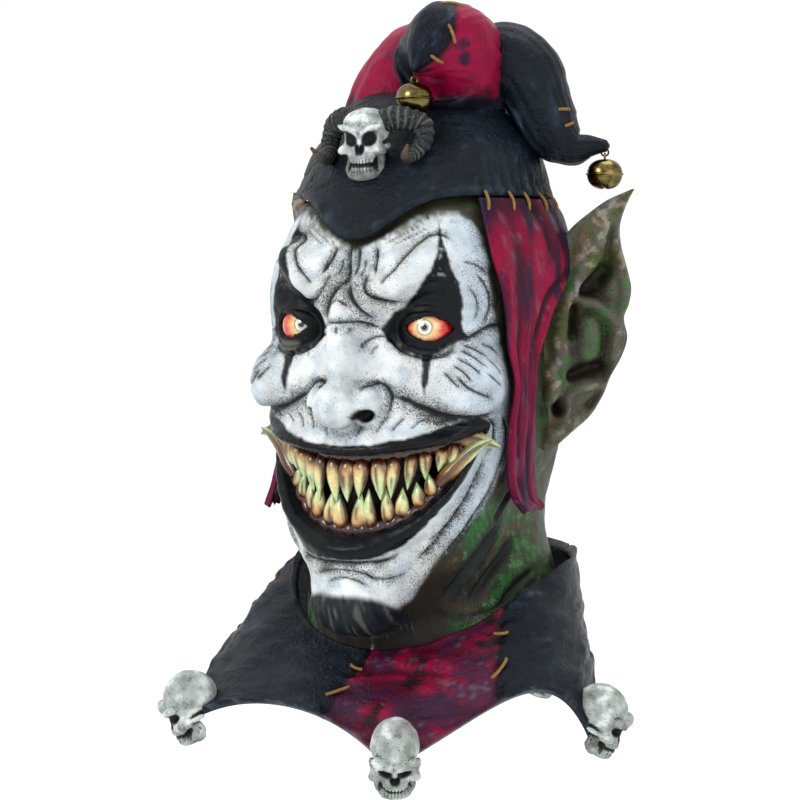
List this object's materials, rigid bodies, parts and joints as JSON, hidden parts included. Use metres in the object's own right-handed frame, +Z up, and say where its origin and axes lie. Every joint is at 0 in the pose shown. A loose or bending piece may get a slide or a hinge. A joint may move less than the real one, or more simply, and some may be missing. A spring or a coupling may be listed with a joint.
{
  "type": "harlequin latex mask",
  "caption": "Full-head latex harlequin mask with a belled jester's cap, horned-skull brooch, fanged grin, pointed ears and a panelled collar whose points carry small skulls.",
  "frame": {"origin": "where the wearer's crown comes, in the hollow under the cap", "axes": "+Z up, the face looks along -Y, the wearer's left is +X"},
  "size_m": [0.3097, 0.3079, 0.4931],
  "materials": {
    "painted_skin": "matt latex, painted white with dark washes",
    "black_latex": "satin latex, blue-black with grey dry brushing",
    "crimson_latex": "satin latex, crimson with dark streaks",
    "mottled_latex": "satin latex, mottled brown and green",
    "eye_gloss": "clear gloss over painted iris",
    "tooth_enamel": "gloss over ivory and pale green",
    "bone_latex": "matt latex, bone grey with dark washes",
    "horn_latex": "matt latex, charcoal",
    "brass": "polished",
    "thread": "dull thread"
  },
  "bodies": {
    "mask": {"bell_loop_front": "thread", "bell_loop_left": "thread", "bell_loop_right": "thread", "brooch_horn_left": "horn_latex", "brooch_horn_right": "horn_latex", "brooch_skull": "bone_latex", "cap_crown": "black_latex", "cap_point_front": "crimson_latex", "cap_point_left": "black_latex", "cap_point_right": "crimson_latex", "collar": "black_latex", "collar_skull_1": "bone_latex", "collar_skull_2": "bone_latex", "collar_skull_3": "bone_latex", "collar_skull_4": "bone_latex", "collar_skull_5": "bone_latex", "collar_skull_6": "bone_latex", "ear_left": "mottled_latex", "ear_right": "mottled_latex", "eye_left": "eye_gloss", "eye_right": "eye_gloss", "head_skin": "painted_skin", "lappet_left": "crimson_latex", "lappet_right": "crimson_latex", "lower_teeth": "tooth_enamel", "tusk_left": "tooth_enamel", "tusk_right": "tooth_enamel", "upper_teeth": "tooth_enamel"},
    "hanging_bell": {"bell_left": "brass"},
    "hanging_bell_right": {"bell_right": "brass"},
    "hanging_bell_front": {"bell_front": "brass"}
  },
  "joints": [
    {"name": "left_bell_swing", "type": "hinge", "parent": "mask", "child": "hanging_bell", "pos_m": [0.121, 0.0398, -0.0203], "axis": [0.9272, 0.3746, 0], "range_deg": [-50, 50]},
    {"name": "right_bell_swing", "type": "hinge", "parent": "mask", "child": "hanging_bell_right", "pos_m": [-0.058, 0.117, -0.0514], "axis": [-0.1736, 0.9848, 0], "range_deg": [-50, 50]},
    {"name": "front_bell_swing", "type": "hinge", "parent": "mask", "child": "hanging_bell_front", "pos_m": [0.0215, -0.0474, 0.028], "axis": [0.5, -0.866, 0], "range_deg": [-50, 0]}
  ]
}
